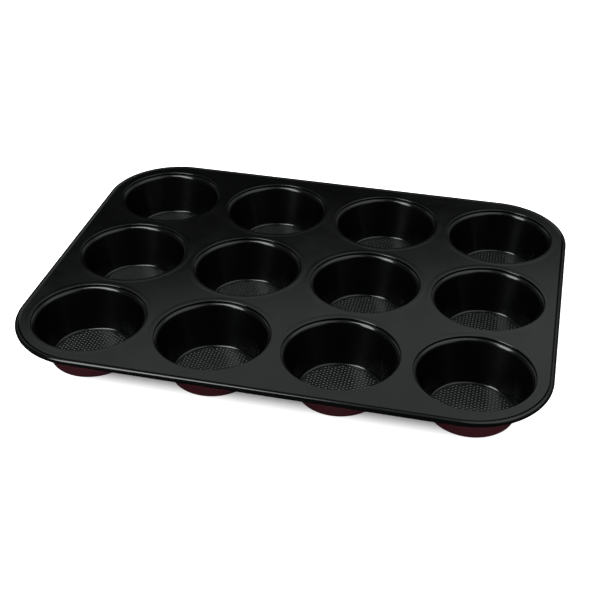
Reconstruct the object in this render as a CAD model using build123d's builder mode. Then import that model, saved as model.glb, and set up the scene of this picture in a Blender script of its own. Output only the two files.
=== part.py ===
from build123d import *

import os
from math import acos, atan2, cos, hypot, pi, radians, sin, sqrt

# Twelve-cup muffin tin: a sheet-steel deck frame with a wired, rolled rim, and
# twelve drawn steel cups lock-seamed into its holes.
#
# Origin at the centre of the plane the cups stand on, +X along the four-cup
# length, +Y along the three-cup width (rear), +Z up.
#
# Names: _R is the radius of a circle or arc, _AT the distance of a point or arc
# centre from the cup axis, _IN a distance in from the outermost edge of the rim.

# ---------------------------------------------------------------- dimensions
LENGTH = 350.0  # over the rolled rim, along X
WIDTH = 270.0  # over the rolled rim, along Y
CORNER_R = 52.7  # plan radius of the four corners, over the rim
SHEET = 0.4  # steel sheet thickness, frame and cups alike
DECK_TOP = 30.0  # upper face of the flat deck

COLUMNS = 4
ROWS = 3
PITCH = 84.25  # cup to cup, both ways

# lock seam round each mouth
MOUTH_R = 37.7  # inner edge of the frame's rolled-in hole
SEAM_GAP = 0.05  # clearance between the seam's four layers
SEAM_R = SHEET + SEAM_GAP  # mid-sheet radius of both folds, and the layer spacing
BEAD_R = 80.0  # mid-sheet radius of the raised bead's crown
BEAD_RISE = 0.024  # bead crown above the flat deck
BEAD_FOOT_R = 20.0  # mid-sheet radius of the bead's foot
BEAD_CROWN_AT = 39.6  # where the bead is highest
RETURN_TIP_AT = 39.5  # where the frame's return leg ends, under the deck
HOOK_TIP_AT = 38.5  # where the cup's hook ends, inside the frame's fold
CUP_FOLD_AT = 39.55  # centre of the cup's own fold
RING_PLATE = 0.2  # flat left outside the bead, on the seam ring

# cup bowl, inside faces
BOTTOM_R = 26.1  # flat of the cup bottom
FILLET_R = 1.6  # between bottom and wall
SHOULDER_R = 3.1  # rolled shoulder between flange and wall
SHOULDER_AT = 38.0  # where the shoulder leaves the flat flange

# rolled rim round the outside, closed over a steel wire
RIM_R = 1.7  # mid-sheet radius of the roll
RIM_RISE = 0.35  # mid-sheet crown of the roll above the deck's mid-sheet
RIM_FOOT_R = 3.0  # mid-sheet radius of the foot between deck and roll
RIM_CURL = 280.0  # how far the sheet curls round the wire, degrees from crown
RIM_PLATE = 1.0  # flat left inside the foot, on the rim strip
WIRE_CLEARANCE = 0.03  # between the wire and the roll
WIRE_GAP = 1.0  # between the butted ends of the wire, at the middle of the rear

# ---------------------------------------------------------------- derived
HALF = SHEET / 2
DECK_MID = DECK_TOP - HALF

# Bead: crown arc and foot arc meet tangentially, nose fold rolls off the crown.
CROWN_Z = DECK_MID + BEAD_RISE - BEAD_R
FOOT_Z = DECK_MID + BEAD_FOOT_R
FOOT_AT = BEAD_CROWN_AT + sqrt((BEAD_R + BEAD_FOOT_R) ** 2 - (FOOT_Z - CROWN_Z) ** 2)
NOSE_AT = MOUTH_R + HALF + SEAM_R
NOSE_Z = CROWN_Z + sqrt((BEAD_R - SEAM_R) ** 2 - (BEAD_CROWN_AT - NOSE_AT) ** 2)
RING_OUT = FOOT_AT + RING_PLATE  # radius at which each seam ring joins the flat plate

# Mid-sheet heights under the deck: cup's hook, frame's return leg, cup's flange.
HOOK_Z = NOSE_Z
RETURN_Z = NOSE_Z - SEAM_R
FLANGE_Z = RETURN_Z - SEAM_R
CUP_FOLD_Z = (HOOK_Z + FLANGE_Z) / 2
CUP_FOLD_R = (HOOK_Z - FLANGE_Z) / 2
FLANGE_TOP = FLANGE_Z + HALF

# Cup wall: the straight line tangent to the shoulder, whose centre is on the
# metal side, and to the bottom fillet, whose centre is on the bowl side.
SHOULDER_Z = FLANGE_TOP - SHOULDER_R
FILLET_Z = SHEET + FILLET_R
CENTRE_SPAN = hypot(SHOULDER_AT - BOTTOM_R, SHOULDER_Z - FILLET_Z)
CENTRE_TILT = atan2(SHOULDER_Z - FILLET_Z, SHOULDER_AT - BOTTOM_R)
# direction of the wall's tangent point, seen from the fillet centre
WALL_ANGLE = CENTRE_TILT - acos((SHOULDER_R + FILLET_R) / CENTRE_SPAN)

# Rim: roll and foot meet tangentially.
ROLL_IN = RIM_R + HALF
ROLL_Z = DECK_MID + RIM_RISE - RIM_R
RIM_FOOT_Z = DECK_MID + RIM_FOOT_R
RIM_FOOT_IN = ROLL_IN + sqrt((RIM_R + RIM_FOOT_R) ** 2 - (RIM_FOOT_Z - ROLL_Z) ** 2)
PLATE_IN = RIM_FOOT_IN + RIM_PLATE  # where the flat plate ends

# corner centres, from the middle of the pan
CORNER_X = LENGTH / 2 - CORNER_R
CORNER_Y = WIDTH / 2 - CORNER_R

CUP_X = [PITCH * (column - (COLUMNS - 1) / 2) for column in range(COLUMNS)]
CUP_Y = [PITCH * (row - (ROWS - 1) / 2) for row in range(ROWS)]


# ---------------------------------------------------------------- sections
# A face of a bent sheet is a list of steps, each either
#   ("line", start point, end point) or
#   ("arc", centre x, centre z, radius, start angle, end angle), in radians.


def polar(x, z, radius, angle):
    """Point on a circle in the section plane."""
    return (x + radius * cos(angle), z + radius * sin(angle))


def cup_face(depth):
    """Steps of one face of the cup sheet, depth below the bowl face."""
    fillet = FILLET_R + depth
    shoulder = SHOULDER_R - depth
    fold = CUP_FOLD_R - HALF + depth
    wall_foot = polar(BOTTOM_R, FILLET_Z, fillet, WALL_ANGLE)
    wall_head = polar(SHOULDER_AT, SHOULDER_Z, shoulder, WALL_ANGLE + pi)
    return [
        ("line", (0, SHEET - depth), (BOTTOM_R, SHEET - depth)),
        ("arc", BOTTOM_R, FILLET_Z, fillet, -pi / 2, WALL_ANGLE),
        ("line", wall_foot, wall_head),
        ("arc", SHOULDER_AT, SHOULDER_Z, shoulder, WALL_ANGLE + pi, pi / 2),
        ("line", (SHOULDER_AT, FLANGE_TOP - depth), (CUP_FOLD_AT, FLANGE_TOP - depth)),
        ("arc", CUP_FOLD_AT, CUP_FOLD_Z, fold, -pi / 2, pi / 2),
        ("line", (CUP_FOLD_AT, CUP_FOLD_Z + fold), (HOOK_TIP_AT, CUP_FOLD_Z + fold)),
    ]


def seam_face(offset):
    """Steps of one face of the frame sheet at a hole, offset above mid-sheet."""
    crown = BEAD_R + offset
    foot = BEAD_FOOT_R - offset
    nose = SEAM_R + offset
    foot_angle = atan2(FOOT_Z - CROWN_Z, FOOT_AT - BEAD_CROWN_AT)
    nose_angle = atan2(NOSE_Z - CROWN_Z, NOSE_AT - BEAD_CROWN_AT)
    return [
        ("line", (RING_OUT, DECK_MID + offset), (FOOT_AT, DECK_MID + offset)),
        ("arc", FOOT_AT, FOOT_Z, foot, -pi / 2, foot_angle - pi),
        ("arc", BEAD_CROWN_AT, CROWN_Z, crown, foot_angle, nose_angle),
        ("arc", NOSE_AT, NOSE_Z, nose, nose_angle, 3 * pi / 2),
        ("line", (NOSE_AT, NOSE_Z - nose), (RETURN_TIP_AT, NOSE_Z - nose)),
    ]


def rim_face(offset, edge):
    """Steps of one face of the frame sheet at the rim, whose outermost point is at edge."""
    roll = RIM_R + offset
    foot = RIM_FOOT_R - offset
    roll_x = edge - ROLL_IN
    foot_x = edge - RIM_FOOT_IN
    foot_angle = atan2(RIM_FOOT_Z - ROLL_Z, foot_x - roll_x)
    return [
        ("line", (edge - PLATE_IN, DECK_MID + offset), (foot_x, DECK_MID + offset)),
        ("arc", foot_x, RIM_FOOT_Z, foot, -pi / 2, foot_angle - pi),
        ("arc", roll_x, ROLL_Z, roll, foot_angle, pi / 2 - radians(RIM_CURL)),
    ]


def draw_face(steps):
    """Draw one face in the current BuildLine."""
    for kind, *values in steps:
        if kind == "line":
            Line(*values)
        else:
            x, z, radius, start, end = values
            angles = (start, (start + end) / 2, end)
            ThreePointArc(*(polar(x, z, radius, angle) for angle in angles))


def face_ends(steps):
    """First and last point of a face, which always starts with a line."""
    kind, *values = steps[-1]
    if kind == "line":
        last_point = values[1]
    else:
        x, z, radius, _, end = values
        last_point = polar(x, z, radius, end)
    return steps[0][1], last_point


def draw_sheet(face_a, face_b):
    """Draw the closed outline of a bent sheet from its two faces."""
    draw_face(face_a)
    draw_face(face_b)
    for point_a, point_b in zip(face_ends(face_a), face_ends(face_b)):
        Line(point_a, point_b)


def section_plane(origin, heading=0):
    """Upright plane: sketch x points along heading (degrees from +X), sketch y is up."""
    along_x, along_y = cos(radians(heading)), sin(radians(heading))
    return Plane(origin=origin, x_dir=(along_x, along_y, 0), z_dir=(along_y, -along_x, 0))


# ---------------------------------------------------------------- parts
def build_pan_frame():
    """Deck with a beaded, turned-under ring at each hole and a rolled rim."""
    with BuildPart() as frame:
        # flat deck, cut away round every cup
        with BuildSketch(Plane.XY.offset(DECK_TOP - SHEET)):
            RectangleRounded(LENGTH - 2 * PLATE_IN, WIDTH - 2 * PLATE_IN, CORNER_R - PLATE_IN)
            with GridLocations(PITCH, PITCH, COLUMNS, ROWS):
                Circle(RING_OUT, mode=Mode.SUBTRACT)
        extrude(amount=SHEET)

        # raised bead and turned-under return leg round every hole
        for x in CUP_X:
            for y in CUP_Y:
                with BuildSketch(section_plane((x, y, 0))):
                    with BuildLine():
                        draw_sheet(seam_face(HALF), seam_face(-HALF))
                    make_face()
                revolve(axis=Axis((x, y, 0), (0, 0, 1)))

        # rolled rim, four straight sides: heading, distance to the edge, half length
        for heading, edge, half_run in (
            (0, LENGTH / 2, CORNER_Y),
            (90, WIDTH / 2, CORNER_X),
            (180, LENGTH / 2, CORNER_Y),
            (270, WIDTH / 2, CORNER_X),
        ):
            with BuildSketch(section_plane((0, 0, 0), heading)):
                with BuildLine():
                    draw_sheet(rim_face(HALF, edge), rim_face(-HALF, edge))
                make_face()
            extrude(amount=half_run, both=True)

        # rolled rim, four corners: X side, Y side, heading the quarter turn starts from
        for side_x, side_y, heading in ((1, 1, 0), (-1, 1, 90), (-1, -1, 180), (1, -1, 270)):
            centre = (side_x * CORNER_X, side_y * CORNER_Y, 0)
            with BuildSketch(section_plane(centre, heading)):
                with BuildLine():
                    draw_sheet(rim_face(HALF, CORNER_R), rim_face(-HALF, CORNER_R))
                make_face()
            revolve(axis=Axis(centre, (0, 0, 1)), revolution_arc=90)
    return frame.part


def build_rim_wire():
    """Round wire inside the rim roll, from the middle of the rear once round the pan."""
    wire_x = LENGTH / 2 - ROLL_IN
    wire_y = WIDTH / 2 - ROLL_IN
    # from the square corner in to the middle of the bend, along X and along Y
    bend_inset = (CORNER_R - ROLL_IN) * (1 - sqrt(0.5))
    with BuildPart() as wire:
        with BuildLine(Plane.XY.offset(ROLL_Z)) as path:
            run_start = (-WIRE_GAP / 2, wire_y)
            # each straight run, then the corner it leads into
            for side_x, side_y in ((-1, 1), (-1, -1), (1, -1), (1, 1)):
                bend_start = (side_x * CORNER_X, side_y * wire_y)
                bend_end = (side_x * wire_x, side_y * CORNER_Y)
                if side_x == side_y:  # these corners are entered from the X side
                    bend_start, bend_end = bend_end, bend_start
                bend_mid = (side_x * (wire_x - bend_inset), side_y * (wire_y - bend_inset))
                Line(run_start, bend_start)
                ThreePointArc(bend_start, bend_mid, bend_end)
                run_start = bend_end
            Line(run_start, (WIRE_GAP / 2, wire_y))
        with BuildSketch(
            Plane(origin=(-WIRE_GAP / 2, wire_y, ROLL_Z), x_dir=(0, 1, 0), z_dir=(-1, 0, 0))
        ):
            Circle(RIM_R - HALF - WIRE_CLEARANCE)
        sweep(path=path.wires()[0])
    return wire.part


def build_cup(x, y):
    """Drawn cup with its flange and hook, standing at (x, y)."""
    with BuildPart() as cup:
        with BuildSketch(section_plane((x, y, 0))):
            with BuildLine():
                draw_sheet(cup_face(0), cup_face(SHEET))
            make_face()
        revolve(axis=Axis((x, y, 0), (0, 0, 1)))
    return cup.part


# ---------------------------------------------------------------- export
def export(part, name):
    """Label a part and write its STEP file."""
    part.label = name
    export_step(part, f"parts/{name}.step")


os.makedirs("parts", exist_ok=True)
export(build_pan_frame(), "pan_frame")
export(build_rim_wire(), "rim_wire")
for row, y in enumerate(CUP_Y, start=1):
    for column, x in enumerate(CUP_X, start=1):
        export(build_cup(x, y), f"cup_r{row}c{column}")
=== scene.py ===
"""A twelve-cup baking tin of coated steel sheet, on a glowing table whose glow paints the contact
shadow, under two soft boxes.

The tin stands on z = 0, centred on the origin: four cups along X, three rows along Y.
Each cup hooks into a hole in the deck, whose outer edge is rolled round a wire.
"""
from math import acos, atan2, cos, hypot, pi, radians, sin, sqrt

import bpy
import numpy as np
from mathutils import Matrix, Vector
from mathutils.geometry import delaunay_2d_cdt


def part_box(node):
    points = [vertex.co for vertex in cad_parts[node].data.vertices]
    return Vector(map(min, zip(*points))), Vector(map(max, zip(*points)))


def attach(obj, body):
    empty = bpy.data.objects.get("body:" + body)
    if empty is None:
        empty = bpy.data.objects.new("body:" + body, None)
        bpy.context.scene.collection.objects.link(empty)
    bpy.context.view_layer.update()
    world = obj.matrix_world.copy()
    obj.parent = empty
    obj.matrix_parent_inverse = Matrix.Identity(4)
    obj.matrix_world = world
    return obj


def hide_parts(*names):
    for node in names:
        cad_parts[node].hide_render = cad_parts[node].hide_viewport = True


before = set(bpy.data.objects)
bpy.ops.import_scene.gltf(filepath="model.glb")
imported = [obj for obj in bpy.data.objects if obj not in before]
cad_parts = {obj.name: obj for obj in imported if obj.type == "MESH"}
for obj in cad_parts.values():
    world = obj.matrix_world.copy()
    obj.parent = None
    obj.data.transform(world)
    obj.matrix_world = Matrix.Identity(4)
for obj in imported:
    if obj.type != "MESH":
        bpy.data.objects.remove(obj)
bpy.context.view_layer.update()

MM = 0.001

# ------------------------------------------------------------------ dimensions, in mm
# _R is a radius, _AT a distance from the cup's axis, _Z a height.
LENGTH, WIDTH, CORNER_R = 350.0, 270.0, 52.7
SHEET = 0.4
DECK_TOP = 30.0
COLUMNS, ROWS = 4, 3

# Cup: flat bottom, fillet, sloping wall, shoulder, flange, and a fold back to the hook's tip
BOTTOM_R, BOTTOM_FILLET = 26.1, 1.6
SHOULDER_R, SHOULDER_AT = 3.1, 38.0
FOLD_AT, HOOK_TIP_AT = 39.55, 38.5

# Deck round a hole: a low bead, a nose at the mouth and a return leg below it
MOUTH_R, NOSE_R, SEAM_GAP = 37.7, 0.45, 0.05
BEAD_R, BEAD_RISE, BEAD_CROWN_AT = 80.0, 0.024, 39.6
BEAD_FOOT_R = 20.0
RETURN_TIP_AT = 39.5

# Rim: a concave foot, then the roll
RIM_R, RIM_RISE, RIM_FOOT_R = 1.7, 0.35, 3.0
RIM_CURL = radians(280.0)

# Raised pips on the cup bottoms, in hexagonal order
PIP_PITCH = 2.6
PIP_R, PIP_HIGH = 0.95, 0.34
PIP_BACK_HIGH = 0.12  # how far the pressing shows on the underside
PIP_SOFT = 0.03  # rounds the foot of a pip
PIPS_REACH, PIPS_FADE = 25.6, 0.9  # radius of the field, and the width it fades over

# Worked-out arc centres; deck, nose, flange and rim heights are mid-sheet
HALF = SHEET / 2
DECK_Z = DECK_TOP - HALF
BEAD_Z = DECK_Z + BEAD_RISE - BEAD_R
FOOT_Z = DECK_Z + BEAD_FOOT_R
FOOT_AT = BEAD_CROWN_AT + sqrt((BEAD_R + BEAD_FOOT_R) ** 2 - (FOOT_Z - BEAD_Z) ** 2)
NOSE_AT = MOUTH_R + HALF + NOSE_R
NOSE_Z = BEAD_Z + sqrt((BEAD_R - NOSE_R) ** 2 - (BEAD_CROWN_AT - NOSE_AT) ** 2)
FLANGE_Z = NOSE_Z - NOSE_R - SHEET - SEAM_GAP
FLANGE_TOP = FLANGE_Z + HALF
FOLD_Z = (NOSE_Z + FLANGE_Z) / 2
FOLD_R = (NOSE_Z - FLANGE_Z) / 2
SHOULDER_Z = FLANGE_TOP - SHOULDER_R
FILLET_Z = SHEET + BOTTOM_FILLET
CENTRES_APART = hypot(SHOULDER_AT - BOTTOM_R, SHOULDER_Z - FILLET_Z)
WALL_ANGLE = atan2(SHOULDER_Z - FILLET_Z, SHOULDER_AT - BOTTOM_R) - acos(
    (SHOULDER_R + BOTTOM_FILLET) / CENTRES_APART
)
ROLL_INSET = RIM_R + HALF
ROLL_Z = DECK_Z + RIM_RISE - RIM_R
RIM_FOOT_Z = DECK_Z + RIM_FOOT_R
RIM_FOOT_INSET = ROLL_INSET + sqrt((RIM_R + RIM_FOOT_R) ** 2 - (RIM_FOOT_Z - ROLL_Z) ** 2)

# Outline of the flat deck, inside the rim's foot
FLAT_X = LENGTH / 2 - RIM_FOOT_INSET
FLAT_Y = WIDTH / 2 - RIM_FOOT_INSET
FLAT_CORNER_R = CORNER_R - RIM_FOOT_INSET

# Mesh density
CUP_SEGMENTS = 192
TOP_STEP = 0.25
UNDER_STEP = 0.375
LATTICE_MARGIN = 0.45  # clear band between the bottom's lattice and its edge
CELL_SIDE_STEPS = 32
FLAT_RINGS = 3

# Material slots; the third is the cup bottoms' coating, lightened as a painted sheen
COATED, ENAMELLED, PAINTED_SHEEN = 0, 1, 2


def centre(node):
    low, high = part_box(node)
    return ((low.x + high.x) / 2 / MM, (low.y + high.y) / 2 / MM)


CUPS = {
    (row, column): centre(f"cup_r{row + 1}c{column + 1}")
    for row in range(ROWS)
    for column in range(COLUMNS)
}
PITCH = (CUPS[(0, COLUMNS - 1)][0] - CUPS[(0, 0)][0]) / (COLUMNS - 1)


# ------------------------------------------------------------------ section paths
# A path is a list of (distance outward, height, normal outward, normal up).
# side is 1 for the face seen from above the flat sheet, -1 for the other.
def line(start, end, normal, steps=1):
    return [
        (
            start[0] + (end[0] - start[0]) * i / steps,
            start[1] + (end[1] - start[1]) * i / steps,
            *normal,
        )
        for i in range(steps + 1)
    ]


def arc(out, z, radius, start, end, steps, facing):
    """An arc about (out, z). facing is 1 for normals away from the centre, -1 towards it."""
    path = []
    for i in range(steps + 1):
        a = start + (end - start) * i / steps
        path.append((out + radius * cos(a), z + radius * sin(a), facing * cos(a), facing * sin(a)))
    return path


def join(*parts):
    path = list(parts[0])
    for part in parts[1:]:
        path += part[1:]
    return path


def cup_face(side):
    """One face of the cup's sheet, from the flat bottom to the hook's tip."""
    depth = 0 if side > 0 else SHEET
    fillet = BOTTOM_FILLET + depth
    shoulder = SHOULDER_R - depth
    fold = FOLD_R - HALF + depth
    wall_out, wall_up = cos(WALL_ANGLE), sin(WALL_ANGLE)
    wall_foot = (BOTTOM_R + fillet * wall_out, FILLET_Z + fillet * wall_up)
    wall_head = (SHOULDER_AT - shoulder * wall_out, SHOULDER_Z - shoulder * wall_up)
    flange_z, hook_z = FLANGE_TOP - depth, FOLD_Z + fold
    return join(
        arc(BOTTOM_R, FILLET_Z, fillet, -pi / 2, WALL_ANGLE, 8, -side),
        line(wall_foot, wall_head, (-side * wall_out, -side * wall_up), 8),
        arc(SHOULDER_AT, SHOULDER_Z, shoulder, WALL_ANGLE + pi, pi / 2, 14, side),
        line((SHOULDER_AT, flange_z), (FOLD_AT, flange_z), (0, side)),
        arc(FOLD_AT, FOLD_Z, fold, -pi / 2, pi / 2, 6, -side),
        line((FOLD_AT, hook_z), (HOOK_TIP_AT, hook_z), (0, -side)),
    )


def seam_face(side):
    """One face of the deck round a hole, from the return leg's tip to the bead's foot."""
    offset = side * HALF
    nose = NOSE_R + offset
    foot_angle = atan2(FOOT_Z - BEAD_Z, FOOT_AT - BEAD_CROWN_AT)
    nose_angle = atan2(NOSE_Z - BEAD_Z, NOSE_AT - BEAD_CROWN_AT)
    return join(
        line((RETURN_TIP_AT, NOSE_Z - nose), (NOSE_AT, NOSE_Z - nose), (0, -side)),
        arc(NOSE_AT, NOSE_Z, nose, 3 * pi / 2, nose_angle, 9, side),
        arc(BEAD_CROWN_AT, BEAD_Z, BEAD_R + offset, nose_angle, foot_angle, 5, side),
        arc(FOOT_AT, FOOT_Z, BEAD_FOOT_R - offset, foot_angle - pi, -pi / 2, 4, -side),
    )


def rim_face(side):
    """One face of the rim, its distances measured out from the edge of the flat deck."""
    offset = side * HALF
    roll_at = RIM_FOOT_INSET - ROLL_INSET
    foot_angle = atan2(RIM_FOOT_Z - ROLL_Z, -roll_at)
    return join(
        arc(0, RIM_FOOT_Z, RIM_FOOT_R - offset, -pi / 2, foot_angle - pi, 4, -side),
        arc(roll_at, ROLL_Z, RIM_R + offset, foot_angle, pi / 2 - RIM_CURL, 26, side),
    )


# ------------------------------------------------------------------ object helpers
def link_object(name, data):
    ob = bpy.data.objects.new(name, data)
    bpy.context.scene.collection.objects.link(ob)
    return ob


def make_mesh(name, verts, quads, tris, quad_slots, tri_slots, normals, materials):
    """A smooth mesh object from arrays in mm, with the given vertex normals."""
    mesh = bpy.data.meshes.new(name)
    quad_count, tri_count = len(quads), len(tris)
    corners = np.concatenate([quads.ravel(), tris.ravel()]).astype(np.int32)
    starts = np.concatenate([np.arange(quad_count) * 4, quad_count * 4 + np.arange(tri_count) * 3])
    slots = np.concatenate([quad_slots, tri_slots])
    mesh.vertices.add(len(verts))
    mesh.vertices.foreach_set("co", (verts * MM).ravel())
    mesh.loops.add(len(corners))
    mesh.loops.foreach_set("vertex_index", corners)
    mesh.polygons.add(quad_count + tri_count)
    mesh.polygons.foreach_set("loop_start", starts.astype(np.int32))
    mesh.polygons.foreach_set("use_smooth", np.ones(quad_count + tri_count, bool))
    mesh.polygons.foreach_set("material_index", slots.astype(np.int32))
    mesh.update(calc_edges=True)
    assert not mesh.validate(verbose=False), name
    unit_normals = normals / np.linalg.norm(normals, axis=1)[:, None]
    mesh.normals_split_custom_set_from_vertices(unit_normals.tolist())
    for material in materials:
        mesh.materials.append(material)
    return link_object(name, mesh)


# ------------------------------------------------------------------ shader helper
class Graph:
    """The emptied node tree of a material or world. An input takes a value or a socket."""

    def __init__(self, owner):
        owner.use_nodes = True
        self.tree = owner.node_tree
        self.tree.nodes.clear()

    def add(self, kind, inputs=None, **settings):
        node = self.tree.nodes.new(kind)
        for name, value in settings.items():
            setattr(node, name, value)
        self.feed(node, inputs or {})
        return node

    def feed(self, node, inputs):
        for key, value in inputs.items():
            if isinstance(value, bpy.types.NodeSocket):
                self.tree.links.new(value, node.inputs[key])
            else:
                node.inputs[key].default_value = value

    def math(self, operation, *values, clamp=False):
        inputs = dict(enumerate(values))
        return self.add("ShaderNodeMath", inputs, operation=operation, use_clamp=clamp).outputs[0]

    def cross(self, first, second):
        inputs = {0: first, 1: second}
        return self.add("ShaderNodeVectorMath", inputs, operation="CROSS_PRODUCT").outputs[0]

    def geometry(self, output):
        return self.add("ShaderNodeNewGeometry").outputs[output]

    def split(self, vector):
        return self.add("ShaderNodeSeparateXYZ", {0: vector}).outputs

    def noise(self, where, scale, detail, rough=0.5):
        inputs = {"Vector": where, "Scale": scale, "Detail": detail, "Roughness": rough}
        return self.add("ShaderNodeTexNoise", inputs).outputs["Fac"]

    def ramp(self, value, at, to, kind="LINEAR"):
        """Map the range at onto the range to, clamped at both ends."""
        inputs = {
            "Value": value, "From Min": at[0], "From Max": at[1], "To Min": to[0], "To Max": to[1]
        }
        return self.add("ShaderNodeMapRange", inputs, interpolation_type=kind).outputs["Result"]

    def smooth(self, value, at, to):
        return self.ramp(value, at, to, kind="SMOOTHSTEP")

    def mix_colour(self, factor, first, second):
        inputs = {"Factor": factor, "A": (*first, 1), "B": (*second, 1)}
        return self.add("ShaderNodeMix", inputs, data_type="RGBA").outputs["Result"]

    def bump(self, height, strength, distance):
        inputs = {"Height": height, "Strength": strength, "Distance": distance}
        return self.add("ShaderNodeBump", inputs).outputs["Normal"]

    def surface(self, shader, output="ShaderNodeOutputMaterial"):
        self.add(output, {"Surface": shader.outputs[0]})


# ------------------------------------------------------------------ materials
def drawn_walls(graph, shader, rough, rough_change):
    """Stretch reflections up and down the steep walls; returns the roughness for all slopes."""
    normal = graph.geometry("Normal")
    upright = graph.math("ABSOLUTE", graph.split(normal)["Z"])
    steep = graph.ramp(upright, at=(0.72, 0.36), to=(0.0, 1.0))
    up_slope = graph.cross(graph.cross(normal, (0.0, 0.0, 1.0)), normal)
    less_specular = graph.math("MULTIPLY", steep, 0.2)
    graph.feed(shader, {
        "Anisotropic": graph.math("MULTIPLY", steep, 0.84),
        "Specular IOR Level": graph.math("SUBTRACT", 0.5, less_specular),
        "Tangent": up_slope,
    })
    return graph.math("ADD", rough, graph.math("MULTIPLY", steep, rough_change))


def coated_steel(name, dark, light, rough, peel, fine, wall_rough=None):
    """A baked-on coating with drifting tone and roughness.

    peel and fine are the heights of the orange peel and of a finer bump.
    wall_rough, if given, is the mean roughness of steep walls.
    """
    material = bpy.data.materials.new(name)
    graph = Graph(material)
    where = graph.geometry("Position")
    shader = graph.add("ShaderNodeBsdfPrincipled", {"IOR": 1.5})

    drift = graph.math("MULTIPLY", graph.noise(where, scale=18.0, detail=3.0), 0.6)
    grain = graph.math("MULTIPLY", graph.noise(where, scale=1400.0, detail=2.0), 0.4)
    tone = graph.ramp(graph.math("ADD", drift, grain), at=(0.3, 0.7), to=(0.0, 1.0))

    patches = graph.noise(where, scale=45.0, detail=4.0, rough=0.6)
    roughness = graph.ramp(patches, at=(0.3, 0.7), to=rough)
    if wall_rough is not None:
        roughness = drawn_walls(graph, shader, roughness, wall_rough - (rough[0] + rough[1]) / 2)

    peel_height = graph.math("MULTIPLY", graph.noise(where, scale=900.0, detail=1.0), peel)
    fine_height = graph.math("MULTIPLY", graph.noise(where, scale=3500.0, detail=1.0), fine)
    height = graph.math("ADD", peel_height, fine_height)
    graph.feed(shader, {
        "Base Color": graph.mix_colour(tone, dark, light),
        "Roughness": roughness,
        "Normal": graph.bump(height, strength=1.0, distance=0.001),
    })
    graph.surface(shader)
    return material


def wire_steel():
    """Bright drawn wire with darker, rougher stains."""
    material = bpy.data.materials.new("drawn_steel_wire")
    graph = Graph(material)
    where = graph.geometry("Position")
    stain = graph.noise(where, scale=260.0, detail=4.0)
    stained = graph.ramp(stain, at=(0.35, 0.7), to=(0.0, 1.0))
    grain = graph.noise(where, scale=2600.0, detail=2.0)
    shader = graph.add("ShaderNodeBsdfPrincipled", {
        "Metallic": 1.0,
        "Base Color": graph.mix_colour(stained, (0.46, 0.46, 0.45), (0.30, 0.28, 0.26)),
        "Roughness": graph.ramp(stain, at=(0.3, 0.7), to=(0.28, 0.5)),
        "Normal": graph.bump(grain, strength=0.6, distance=0.0001),
    })
    graph.surface(shader)
    return material


nonstick = coated_steel(
    "nonstick_black", dark=(0.0006, 0.0007, 0.0007), light=(0.0012, 0.0014, 0.0013),
    rough=(0.11, 0.16), peel=0.0025, fine=0.0008, wall_rough=0.21,
)
# The same coating on the cup bottoms, painted a lighter grey for the sheen their pips catch from the
# key light
bottom_painted_sheen = coated_steel(
    "nonstick_black_painted_sheen", dark=(0.0050, 0.0056, 0.0054), light=(0.0070, 0.0078, 0.0076),
    rough=(0.12, 0.18), peel=0.0025, fine=0.0008,
)
burgundy = coated_steel(
    "burgundy_enamel", dark=(0.024, 0.0026, 0.0050), light=(0.033, 0.0040, 0.0072),
    rough=(0.28, 0.36), peel=0.003, fine=0.001,
)


# ------------------------------------------------------------------ cups
def pips(x, y):
    """Height (0 to 1) and its X and Y gradients per mm, for round caps in files along Y."""
    file_pitch = PIP_PITCH * sqrt(3) / 2
    nearest = None
    for step in (-1, 0, 1):
        file = np.round(x / file_pitch) + step
        shift = np.where(np.mod(file, 2) == 1, PIP_PITCH / 2, 0.0)
        pip_x = file * file_pitch
        pip_y = np.round((y - shift) / PIP_PITCH) * PIP_PITCH + shift
        found = (np.hypot(y - pip_y, x - pip_x), pip_x, pip_y)
        if nearest is None:
            nearest = found
        else:
            closer = found[0] < nearest[0]
            nearest = tuple(np.where(closer, new, old) for new, old in zip(found, nearest))
    distance, pip_x, pip_y = nearest
    ball_r = (PIP_R ** 2 + PIP_HIGH ** 2) / (2 * PIP_HIGH)
    ball_height = np.sqrt(np.maximum(ball_r ** 2 - distance ** 2, 1e-6))
    cap = ball_height - (ball_r - PIP_HIGH)
    softened = np.sqrt(cap ** 2 + PIP_SOFT ** 2)
    height = (cap + softened) / 2
    slope = -distance / ball_height * (1 + cap / softened) / 2
    safe = np.maximum(distance, 1e-6)
    inside = np.clip((PIPS_REACH - np.hypot(pip_y, pip_x)) / PIPS_FADE, 0, 1)
    fade = inside * inside * (3 - 2 * inside)
    gradient_x = slope * (x - pip_x) / safe
    gradient_y = slope * (y - pip_y) / safe
    return height * fade / PIP_HIGH, gradient_x * fade / PIP_HIGH, gradient_y * fade / PIP_HIGH


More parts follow.
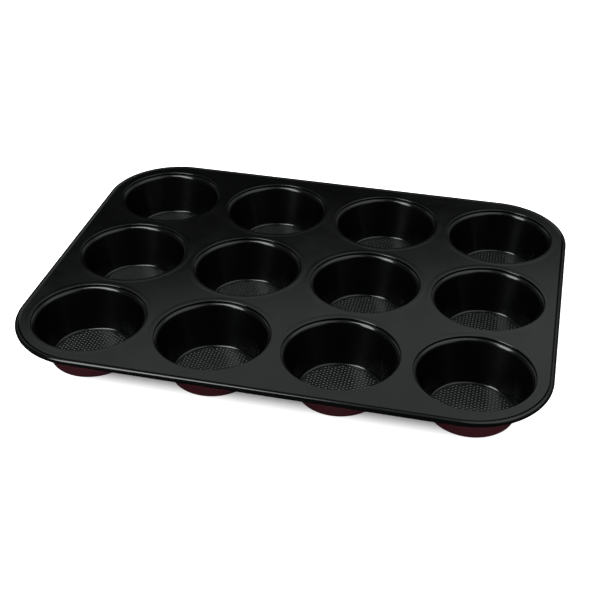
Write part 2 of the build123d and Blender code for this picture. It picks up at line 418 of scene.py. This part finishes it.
def disc(step, high, z, side):
    """A cup bottom's face: vertices (edge first), triangles and normals. side 1 faces up."""
    turns = [2 * pi * i / CUP_SEGMENTS for i in range(CUP_SEGMENTS)]
    points = [(BOTTOM_R * cos(a), BOTTOM_R * sin(a)) for a in turns]
    rows = int(BOTTOM_R / (step * sqrt(3) / 2)) + 1
    columns = int(BOTTOM_R / step) + 1
    for row in range(-rows, rows + 1):
        y = row * step * sqrt(3) / 2
        shift = step / 2 if row % 2 else 0.0
        for column in range(-columns, columns + 1):
            x = column * step + shift
            if hypot(x, y) < BOTTOM_R - LATTICE_MARGIN:
                points.append((x, y))
    edges = [(i, (i + 1) % CUP_SEGMENTS) for i in range(CUP_SEGMENTS)]
    flat = [Vector(point) for point in points]
    # Output type 1 keeps only the triangles inside the edge loop
    triangulated, _, faces, _, _, _ = delaunay_2d_cdt(flat, edges, [], 1, 1e-7, False)
    assert len(triangulated) == len(points)

    plan = np.array(points)
    height, slope_x, slope_y = pips(plan[:, 0], plan[:, 1])
    verts = np.column_stack([plan, z + high * height])
    normals = np.column_stack(
        [-high * slope_x * side, -high * slope_y * side, np.full(len(plan), float(side))]
    )
    tris = np.array(faces, np.int32)
    a, b, c = (plan[tris[:, k]] for k in range(3))
    area = (b[:, 0] - a[:, 0]) * (c[:, 1] - a[:, 1]) - (b[:, 1] - a[:, 1]) * (c[:, 0] - a[:, 0])
    wrong = area * side < 0
    tris[wrong] = tris[wrong][:, ::-1]
    return verts, tris, normals


def revolve(path):
    """Vertices and normals of a path turned about Z, ring after ring."""
    turn = 2 * pi * np.arange(CUP_SEGMENTS) / CUP_SEGMENTS
    cosine, sine = np.cos(turn), np.sin(turn)

    def ring(out, up):
        return np.column_stack([out * cosine, out * sine, np.full(CUP_SEGMENTS, up)])

    verts = np.concatenate([ring(out, z) for out, z, _, _ in path])
    normals = np.concatenate([ring(out, up) for _, _, out, up in path])
    return verts, normals


def build_cup():
    """One cup about its own axis: the array arguments of make_mesh."""
    top_verts, top_tris, top_normals = disc(TOP_STEP, PIP_HIGH, SHEET, 1)
    under_verts, under_tris, under_normals = disc(UNDER_STEP, PIP_BACK_HIGH, 0.0, -1)
    # The first ring of each face is its disc's own edge
    bowl_path, back_path = cup_face(1)[1:], cup_face(-1)[1:]
    bowl_verts, bowl_normals = revolve(bowl_path)
    back_verts, back_normals = revolve(back_path)
    bowl_start = len(top_verts)
    under_start = bowl_start + len(bowl_verts)
    back_start = under_start + len(under_verts)
    bowl = [0] + [bowl_start + k * CUP_SEGMENTS for k in range(len(bowl_path))]
    back = [under_start] + [back_start + k * CUP_SEGMENTS for k in range(len(back_path))]

    here = np.arange(CUP_SEGMENTS)
    after = (here + 1) % CUP_SEGMENTS

    def strip(a, b):
        return np.column_stack([a + here, a + after, b + after, b + here])

    quads = [strip(a, b)[:, ::-1] for a, b in zip(bowl, bowl[1:])]
    quads += [strip(a, b) for a, b in zip(back, back[1:])]
    quads.append(strip(bowl[-1], back[-1])[:, ::-1])
    strip_slots = [COATED] * len(bowl_path) + [ENAMELLED] * len(back_path) + [COATED]
    return (
        np.concatenate([top_verts, bowl_verts, under_verts, back_verts]),
        np.concatenate(quads),
        np.concatenate([top_tris, under_tris + under_start]),
        np.repeat(strip_slots, CUP_SEGMENTS),
        # The bottoms' upper faces take the coating with the painted sheen
        np.repeat([PAINTED_SHEEN, ENAMELLED], [len(top_tris), len(under_tris)]),
        np.concatenate([top_normals, bowl_normals, under_normals, back_normals]),
    )


cup_verts, *cup_arrays = build_cup()
for (row, column), (cup_x, cup_y) in CUPS.items():
    node = f"cup_r{row + 1}c{column + 1}"
    placed = cup_verts + np.array([cup_x, cup_y, 0.0])
    cup = make_mesh(node + "_shell", placed, *cup_arrays, (nonstick, burgundy, bottom_painted_sheen))
    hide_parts(node)
    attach(cup, "root")


# ------------------------------------------------------------------ deck frame
def sign(value):
    return 1 if value > 0 else -1


def plan_key(x, y):
    return (round(x, 4), round(y, 4))


def outline_hit(x, y, way_x, way_y):
    """Where a ray from (x, y) inside meets the flat deck's rounded outline."""
    reach = min(
        (sign(way) * half - start) / way if abs(way) > 1e-12 else 1e9
        for way, start, half in ((way_x, x, FLAT_X), (way_y, y, FLAT_Y))
    )
    hit_x, hit_y = x + reach * way_x, y + reach * way_y
    straight_x, straight_y = FLAT_X - FLAT_CORNER_R, FLAT_Y - FLAT_CORNER_R
    if abs(hit_x) <= straight_x or abs(hit_y) <= straight_y:
        return hit_x, hit_y
    from_x, from_y = x - straight_x * sign(hit_x), y - straight_y * sign(hit_y)
    along = from_x * way_x + from_y * way_y
    outside = from_x * from_x + from_y * from_y - FLAT_CORNER_R * FLAT_CORNER_R
    reach = -along + sqrt(along * along - outside)
    return x + reach * way_x, y + reach * way_y


def cell_corner(cup_x, cup_y, side_x, side_y, outer_x, outer_y):
    if outer_x and outer_y:
        diagonal = FLAT_CORNER_R * sqrt(0.5)
        return (
            side_x * (FLAT_X - FLAT_CORNER_R + diagonal),
            side_y * (FLAT_Y - FLAT_CORNER_R + diagonal),
        )
    return (
        side_x * FLAT_X if outer_x else cup_x + side_x * PITCH / 2,
        side_y * FLAT_Y if outer_y else cup_y + side_y * PITCH / 2,
    )


def cell_outline(row, column):
    """Points anticlockwise round a cup's cell from its +X -Y corner, and those on the deck's edge."""
    cup_x, cup_y = CUPS[(row, column)]
    outer_x = {1: column == COLUMNS - 1, -1: column == 0}
    outer_y = {1: row == ROWS - 1, -1: row == 0}
    corners = [
        cell_corner(cup_x, cup_y, side_x, side_y, outer_x[side_x], outer_y[side_y])
        for side_x, side_y in ((1, -1), (1, 1), (-1, 1), (-1, -1))
    ]
    # Axis each side crosses, its direction along it, and whether it is on the deck's edge
    sides = (
        ("x", 1, outer_x[1]), ("y", 1, outer_y[1]), ("x", -1, outer_x[-1]), ("y", -1, outer_y[-1])
    )
    points = []
    for k, (axis, way, outer) in enumerate(sides):
        start, end = corners[k], corners[(k + 1) % 4]
        start_angle = atan2(start[1] - cup_y, start[0] - cup_x)
        end_angle = atan2(end[1] - cup_y, end[0] - cup_x)
        if end_angle < start_angle:
            end_angle += 2 * pi
        points.append(start)
        for step in range(1, CELL_SIDE_STEPS):
            angle = start_angle + (end_angle - start_angle) * step / CELL_SIDE_STEPS
            way_x, way_y = cos(angle), sin(angle)
            if outer:
                points.append(outline_hit(cup_x, cup_y, way_x, way_y))
            elif axis == "x":
                x = cup_x + way * PITCH / 2
                points.append((x, cup_y + (x - cup_x) * way_y / way_x))
            else:
                y = cup_y + way * PITCH / 2
                points.append((cup_x + (y - cup_y) * way_x / way_y, y))
    edge_points = [
        points[(k * CELL_SIDE_STEPS + step) % len(points)]
        for k, (_, _, outer) in enumerate(sides) if outer
        for step in range(CELL_SIDE_STEPS + 1)
    ]
    return points, edge_points


class FrameSheet:
    """Collects the deck's two faces; side is 1 for the upper face, -1 for the lower."""

    def __init__(self):
        self.verts, self.normals, self.quads, self.slots = [], [], [], []
        self.shared = {}

    def vert(self, place, normal):
        self.verts.append(place)
        self.normals.append(normal)
        return len(self.verts) - 1

    def flat_vert(self, x, y, side):
        return self.vert((x, y, DECK_Z + side * HALF), (0, 0, side))

    def edge_vert(self, x, y, side):
        """A vertex of the flat deck that neighbouring cells or the rim share."""
        key = (plan_key(x, y), side)
        if key not in self.shared:
            self.shared[key] = self.flat_vert(x, y, side)
        return self.shared[key]

    def strip(self, inner, outer, side=1):
        for i in range(len(inner)):
            j = (i + 1) % len(inner)
            quad = [inner[i], outer[i], outer[j], inner[j]]
            self.quads.append(quad if side > 0 else quad[::-1])
            self.slots.append(COATED if side > 0 else ENAMELLED)

    def cell(self, cup_x, cup_y, points):
        """The deck from one hole's return leg out to the cell's outline."""
        spokes = np.array(points) - np.array([cup_x, cup_y])
        reach = np.hypot(spokes[:, 0], spokes[:, 1])
        ways = spokes / reach[:, None]
        tip = {}
        for side in (1, -1):
            rings = [
                [
                    self.vert((cup_x + out * x, cup_y + out * y, z), (lean * x, lean * y, up))
                    for x, y in ways
                ]
                for out, z, lean, up in seam_face(side)
            ]
            for k in range(1, FLAT_RINGS):
                outs = FOOT_AT + (reach - FOOT_AT) * (k / FLAT_RINGS)
                rings.append([
                    self.flat_vert(cup_x + out * x, cup_y + out * y, side)
                    for out, (x, y) in zip(outs, ways)
                ])
            rings.append([self.edge_vert(x, y, side) for x, y in points])
            for inner, outer in zip(rings, rings[1:]):
                self.strip(inner, outer, side)
            tip[side] = rings[0]
        self.strip(tip[-1], tip[1])

    def rim(self, stations):
        """The rolled rim, swept round the flat deck's outline."""
        around = sorted(stations, key=lambda point: atan2(point[1], point[0]))
        ways = []
        for x, y in around:
            past_x = max(abs(x) - (FLAT_X - FLAT_CORNER_R), 0.0)
            past_y = max(abs(y) - (FLAT_Y - FLAT_CORNER_R), 0.0)
            past = hypot(past_x, past_y)
            ways.append((sign(x) * past_x / past, sign(y) * past_y / past))
        end = {}
        for side in (1, -1):
            ring = [self.edge_vert(x, y, side) for x, y in around]
            for out, z, lean, up in rim_face(side)[1:]:
                inner = ring
                ring = [
                    self.vert((x + out * way_x, y + out * way_y, z), (lean * way_x, lean * way_y, up))
                    for (x, y), (way_x, way_y) in zip(around, ways)
                ]
                self.strip(inner, ring, side)
            end[side] = ring
        self.strip(end[1], end[-1])


deck = FrameSheet()
rim_stations = {}
for (row, column), (cup_x, cup_y) in CUPS.items():
    cell_points, edge_points = cell_outline(row, column)
    rim_stations.update({plan_key(x, y): (x, y) for x, y in edge_points})
    deck.cell(cup_x, cup_y, cell_points)
deck.rim(rim_stations.values())
sheet = make_mesh(
    "pan_frame_sheet", np.array(deck.verts), np.array(deck.quads, np.int32),
    np.zeros((0, 3), np.int32), deck.slots, [], np.array(deck.normals, float),
    (nonstick, burgundy),
)
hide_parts("pan_frame")
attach(sheet, "root")

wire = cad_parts["rim_wire"]
wire.data.materials.clear()
wire.data.materials.append(wire_steel())

# ------------------------------------------------------------------ floor, in metres
FLOOR_HALF, FLOOR_Z = 6, -0.0001
SHADOW_HALF_X, SHADOW_HALF_Y = 0.1264, 0.0842  # half sizes of the painted contact shadow's darkest rectangle, under the tin
SHADOW_FADE_START, SHADOW_FADE_END = 0.012, 0.035  # distances outside it where the painted shadow starts to lift and where it is gone


def paper_with_painted_shadow():
    """White paper that glows round the tin; its glow, cut off under and near the tin, paints the
    contact shadow. Reflections see it nearly black.
    """
    material = bpy.data.materials.new("white_paper_painted_shadow")
    graph = Graph(material)
    place = graph.split(graph.geometry("Position"))
    squares = []
    for axis, half in (("X", SHADOW_HALF_X), ("Y", SHADOW_HALF_Y)):
        beyond = graph.math("SUBTRACT", graph.math("ABSOLUTE", place[axis]), half)
        squares.append(graph.math("POWER", graph.math("MAXIMUM", beyond, 0.0), 2.0))
    distance = graph.math("POWER", graph.math("ADD", *squares), 0.5)
    paper = graph.add("ShaderNodeBsdfPrincipled", {
        "Base Color": (0.93, 0.93, 0.93, 1),
        "Roughness": 0.9,
        "Specular IOR Level": 0.1,
        "Emission Color": (1, 1, 1, 1),
        # Painted contact shadow: no glow under the tin, rising to full glow outside it
        "Emission Strength": graph.smooth(distance, at=(SHADOW_FADE_START, SHADOW_FADE_END), to=(0.0, 1.0)),
    })
    dim = graph.add("ShaderNodeBsdfDiffuse", {"Color": (0.012, 0.012, 0.012, 1)})
    ray = graph.add("ShaderNodeLightPath").outputs
    graph.surface(graph.add("ShaderNodeMixShader", {
        "Fac": ray["Is Glossy Ray"], 1: paper.outputs["BSDF"], 2: dim.outputs["BSDF"]
    }))
    return material


floor_mesh = bpy.data.meshes.new("floor")
floor_corners = [
    (x * FLOOR_HALF, y * FLOOR_HALF, FLOOR_Z) for x, y in ((-1, -1), (1, -1), (1, 1), (-1, 1))
]
floor_mesh.from_pydata(floor_corners, [], [(0, 1, 2, 3)])
floor = link_object("floor", floor_mesh)
floor_mesh.materials.append(paper_with_painted_shadow())

# ------------------------------------------------------------------ studio light
# Azimuths run from +X towards +Y; they and elevations are in degrees.
LIGHT_TINT = (0.945, 1.0, 0.975)
AIM = Vector((0, 0, 0.03))


def soft_box(name, azimuth, elevation, distance, wide, tall, radiance, along=(0, 0, 1)):
    """A rectangular area light facing the tin, its tall side lying towards along."""
    turn, rise = azimuth * pi / 180, elevation * pi / 180
    way = Vector((cos(turn) * cos(rise), sin(turn) * cos(rise), sin(rise)))
    lamp = bpy.data.lights.new(name, "AREA")
    lamp.shape = "RECTANGLE"
    lamp.size, lamp.size_y = wide, tall
    lamp.color = LIGHT_TINT
    lamp.energy = radiance * pi * wide * tall
    ob = link_object(name, lamp)
    ob.location = way * distance + AIM
    side = Vector(along).cross(way).normalized()
    ob.rotation_euler = Matrix((side, way.cross(side), way)).transposed().to_euler()
    ob.visible_camera = False


soft_box(
    "key_box", azimuth=-140, elevation=57, distance=0.88, wide=0.30, tall=0.90,
    radiance=7.4, along=(0.385, 0.743, 0.547),
)
soft_box(
    "right_box", azimuth=4, elevation=58, distance=0.85, wide=0.92, tall=0.76, radiance=0.66
)


def studio_strength(graph):
    """Brightness of the reflected studio by direction."""
    math, smooth = graph.math, graph.smooth
    way = graph.split(graph.add("ShaderNodeTexCoord").outputs["Generated"])
    height = math("MULTIPLY", math("ARCSINE", way["Z"]), 180 / pi)
    azimuth = math("MULTIPLY", math("ARCTAN2", way["Y"], way["X"]), 180 / pi)

    # Lit strip behind the tin, its lower edge falling to the right, dimmer above
    fall = math("MULTIPLY", math("SUBTRACT", 101.0, azimuth), 0.09)
    strip = math(
        "ADD",
        smooth(math("ADD", height, fall), at=(31.4, 34.6), to=(0.0, 0.52)),
        smooth(height, at=(40.0, 47.0), to=(0.0, -0.32)),
    )
    strip = math("MULTIPLY", strip, smooth(azimuth, at=(80.0, 90.0), to=(0.0, 1.0)))
    strip = math("MULTIPLY", strip, smooth(azimuth, at=(140.0, 160.0), to=(1.0, 0.0)))

    # Pale wall on the right, brighter with height
    wall = smooth(height, at=(10.0, 48.0), to=(0.0, 0.41))
    wall = math("MULTIPLY", wall, smooth(azimuth, at=(-52.0, -32.0), to=(0.0, 1.0)))
    wall = math("MULTIPLY", wall, smooth(azimuth, at=(80.0, 96.0), to=(1.0, 0.0)))

    ceiling = smooth(height, at=(45.0, 62.0), to=(0.012, 0.18))

    # Faint low surroundings, with gaps behind the tin and on the camera's side
    low = math(
        "SUBTRACT",
        smooth(height, at=(3.0, 13.0), to=(0.0, 0.08)),
        smooth(height, at=(27.0, 45.0), to=(0.0, 0.08)),
    )
    for middle, gap in ((103.0, (12.0, 36.0)), (-80.0, (18.0, 42.0))):
        off = math("ABSOLUTE", math("SUBTRACT", azimuth, middle))
        low = math("MULTIPLY", low, smooth(off, at=gap, to=(0.0, 1.0)))
    return math("ADD", math("ADD", strip, wall), math("ADD", ceiling, low))


def build_world():
    """Plain white to camera and diffuse rays, the drawn studio to all others."""
    world = bpy.data.worlds.new("studio")
    bpy.context.scene.world = world
    graph = Graph(world)
    studio = graph.add("ShaderNodeBackground", {
        "Color": (*LIGHT_TINT, 1), "Strength": studio_strength(graph)
    })
    plain = graph.add("ShaderNodeBackground", {"Color": (1.0, 1.0, 1.0, 1), "Strength": 1.0})
    ray = graph.add("ShaderNodeLightPath").outputs
    sees_plain = graph.math("ADD", ray["Is Camera Ray"], ray["Is Diffuse Ray"], clamp=True)
    pick = graph.add("ShaderNodeMixShader", {
        "Fac": sees_plain, 1: studio.outputs[0], 2: plain.outputs[0]
    })
    graph.surface(pick, "ShaderNodeOutputWorld")


build_world()

# ------------------------------------------------------------------ camera
CAMERA_PLACE = Vector((0.146529, -0.648174, 0.456325))
CAMERA_RIGHT = Vector((0.9731830, 0.2299537, 0.0060075))
CAMERA_UP = Vector((-0.1335261, 0.5434420, 0.8287591))
CAMERA_BACK = Vector((0.1873114, -0.8073364, 0.5595733))

camera_data = bpy.data.cameras.new("camera")
camera_data.sensor_width = 36.0
camera_data.lens = 68.0313
camera = link_object("camera", camera_data)
camera_turn = Matrix((CAMERA_RIGHT, CAMERA_UP, CAMERA_BACK)).transposed().to_4x4()
camera.matrix_world = Matrix.Translation(CAMERA_PLACE) @ camera_turn
bpy.context.scene.camera = camera

view = bpy.context.scene.view_settings
view.view_transform = "Standard"
view.look = "None"
view.exposure = 0.0
view.gamma = 1.0
